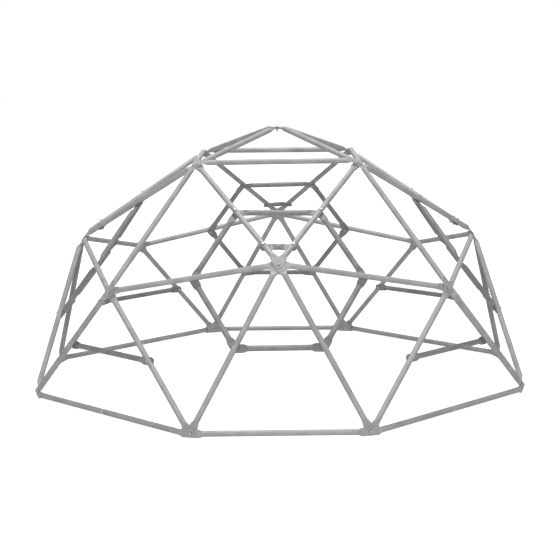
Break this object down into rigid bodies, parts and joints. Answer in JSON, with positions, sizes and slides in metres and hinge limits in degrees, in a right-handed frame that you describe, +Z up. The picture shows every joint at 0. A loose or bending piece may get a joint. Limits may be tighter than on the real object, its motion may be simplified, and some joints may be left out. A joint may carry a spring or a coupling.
{
  "type": "dome climber",
  "caption": "Free-standing geodesic dome climbing frame of bolted steel tubes with flattened ends: octagonal base, a ring of short bars on each side and a low pyramid at the top.",
  "frame": {"origin": "centre of the octagonal base, on the ground plane the base stands on", "axes": "+Z up; -Y towards the front side, +X towards the right side as seen from the front; the dome repeats every 90 degrees about Z"},
  "size_m": [2.9556, 2.9556, 1.5734],
  "materials": {
    "tube_coat": "satin silver-grey powder coat on steel tube",
    "ring_coat": "satin silver-grey powder coat on the short ring, tie and brace bars",
    "zinc_plate": "bright zinc plate on bolts and lock nuts"
  },
  "bodies": {
    "root": {"corner_ties": "ring_coat", "front_crown_bar": "tube_coat", "front_left_apex_bar": "tube_coat", "front_left_corner_bar": "tube_coat", "front_left_leg_left": "tube_coat", "front_left_leg_right": "tube_coat", "front_lower_bar_left": "tube_coat", "front_lower_bar_right": "tube_coat", "front_middle_bar_left": "tube_coat", "front_middle_bar_right": "tube_coat", "front_right_apex_bar": "tube_coat", "front_right_corner_bar": "tube_coat", "front_right_leg_left": "tube_coat", "front_right_leg_right": "tube_coat", "front_ring_bars": "ring_coat", "front_short_base_bar": "tube_coat", "front_upper_bar_left": "tube_coat", "front_upper_bar_right": "tube_coat", "joint_bolts": "zinc_plate", "left_crown_bar": "tube_coat", "left_lower_bar_left": "tube_coat", "left_lower_bar_right": "tube_coat", "left_middle_bar_left": "tube_coat", "left_middle_bar_right": "tube_coat", "left_ring_bars": "ring_coat", "left_short_base_bar": "tube_coat", "left_upper_bar_left": "tube_coat", "left_upper_bar_right": "tube_coat", "lock_nuts": "zinc_plate", "long_base_socket_halves": "tube_coat", "long_base_swaged_halves": "tube_coat", "rear_crown_bar": "tube_coat", "rear_left_apex_bar": "tube_coat", "rear_left_corner_bar": "tube_coat", "rear_left_leg_left": "tube_coat", "rear_left_leg_right": "tube_coat", "rear_lower_bar_left": "tube_coat", "rear_lower_bar_right": "tube_coat", "rear_middle_bar_left": "tube_coat", "rear_middle_bar_right": "tube_coat", "rear_right_apex_bar": "tube_coat", "rear_right_corner_bar": "tube_coat", "rear_right_leg_left": "tube_coat", "rear_right_leg_right": "tube_coat", "rear_ring_bars": "ring_coat", "rear_short_base_bar": "tube_coat", "rear_upper_bar_left": "tube_coat", "rear_upper_bar_right": "tube_coat", "right_crown_bar": "tube_coat", "right_lower_bar_left": "tube_coat", "right_lower_bar_right": "tube_coat", "right_middle_bar_left": "tube_coat", "right_middle_bar_right": "tube_coat", "right_ring_bars": "ring_coat", "right_short_base_bar": "tube_coat", "right_upper_bar_left": "tube_coat", "right_upper_bar_right": "tube_coat", "side_braces": "ring_coat", "splice_bolts": "zinc_plate", "tube_bolts": "zinc_plate"}
  },
  "joints": []
}
